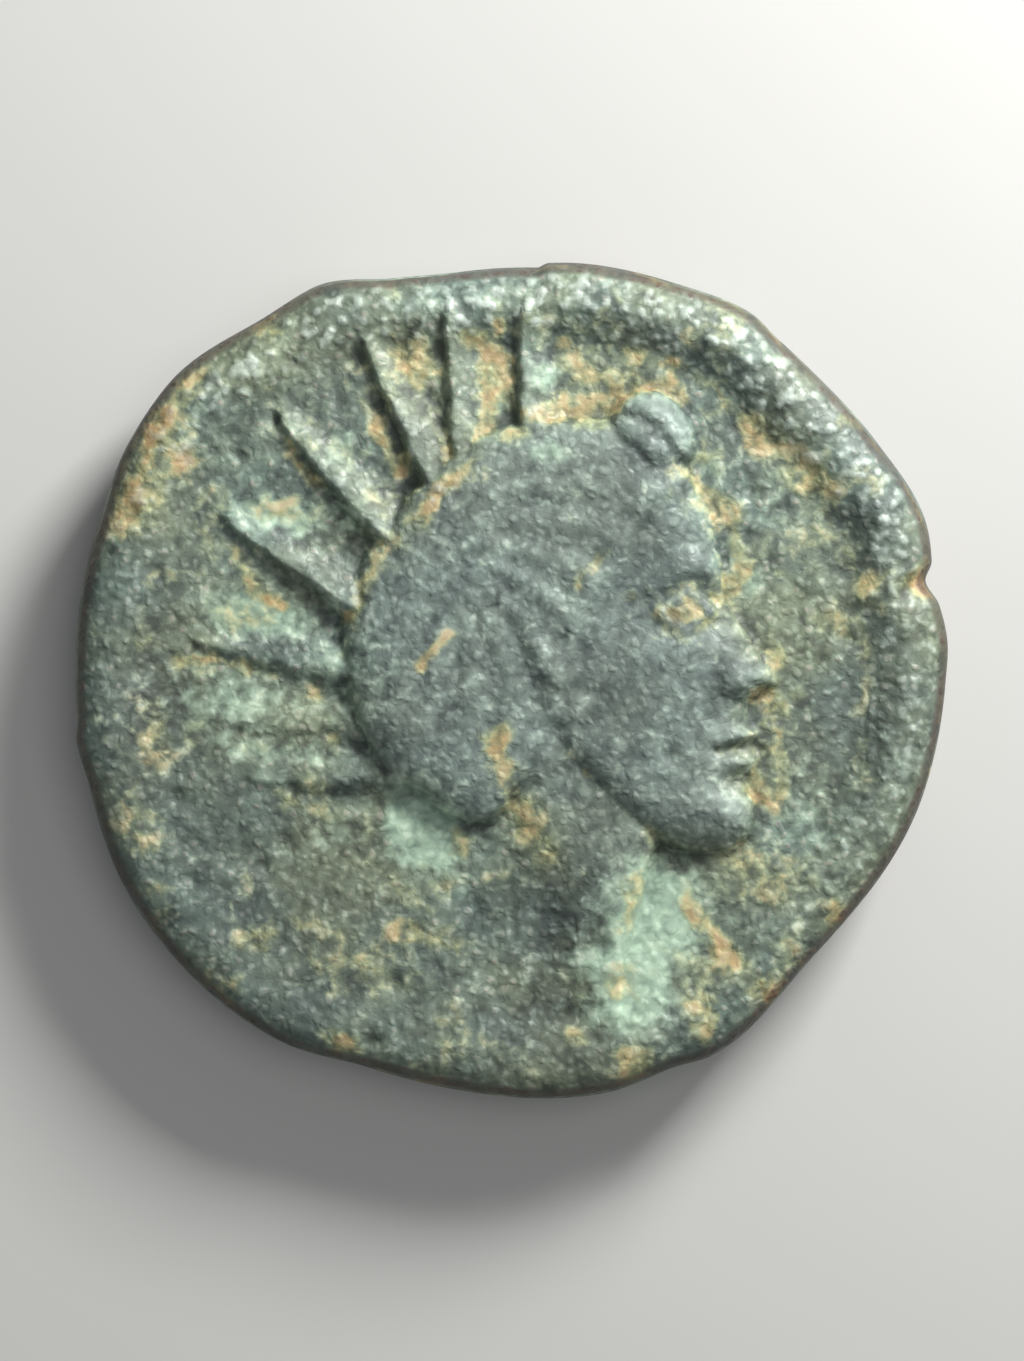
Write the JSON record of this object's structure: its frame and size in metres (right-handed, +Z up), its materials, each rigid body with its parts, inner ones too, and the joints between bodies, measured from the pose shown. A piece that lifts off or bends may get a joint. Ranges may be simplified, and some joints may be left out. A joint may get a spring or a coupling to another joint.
{
  "type": "ancient bronze coin",
  "caption": "Small struck bronze coin with a radiate head in relief facing right, a thick cast flan with an uneven split edge, and a worn star on its reverse.",
  "frame": {"origin": "under the middle of the coin, on the plane that it lies on", "axes": "+Z up through the coin's thickness, out of the obverse; +X to the right as the head is seen, the way it faces; +Y towards the top of the head"},
  "size_m": [0.018, 0.0172, 0.0029],
  "materials": {
    "patinated_bronze": "worn grey-green patina with ochre and pale green deposits, satin on the high points and dull in the hollows"
  },
  "bodies": {
    "root": {"coin": "patinated_bronze"}
  },
  "joints": []
}
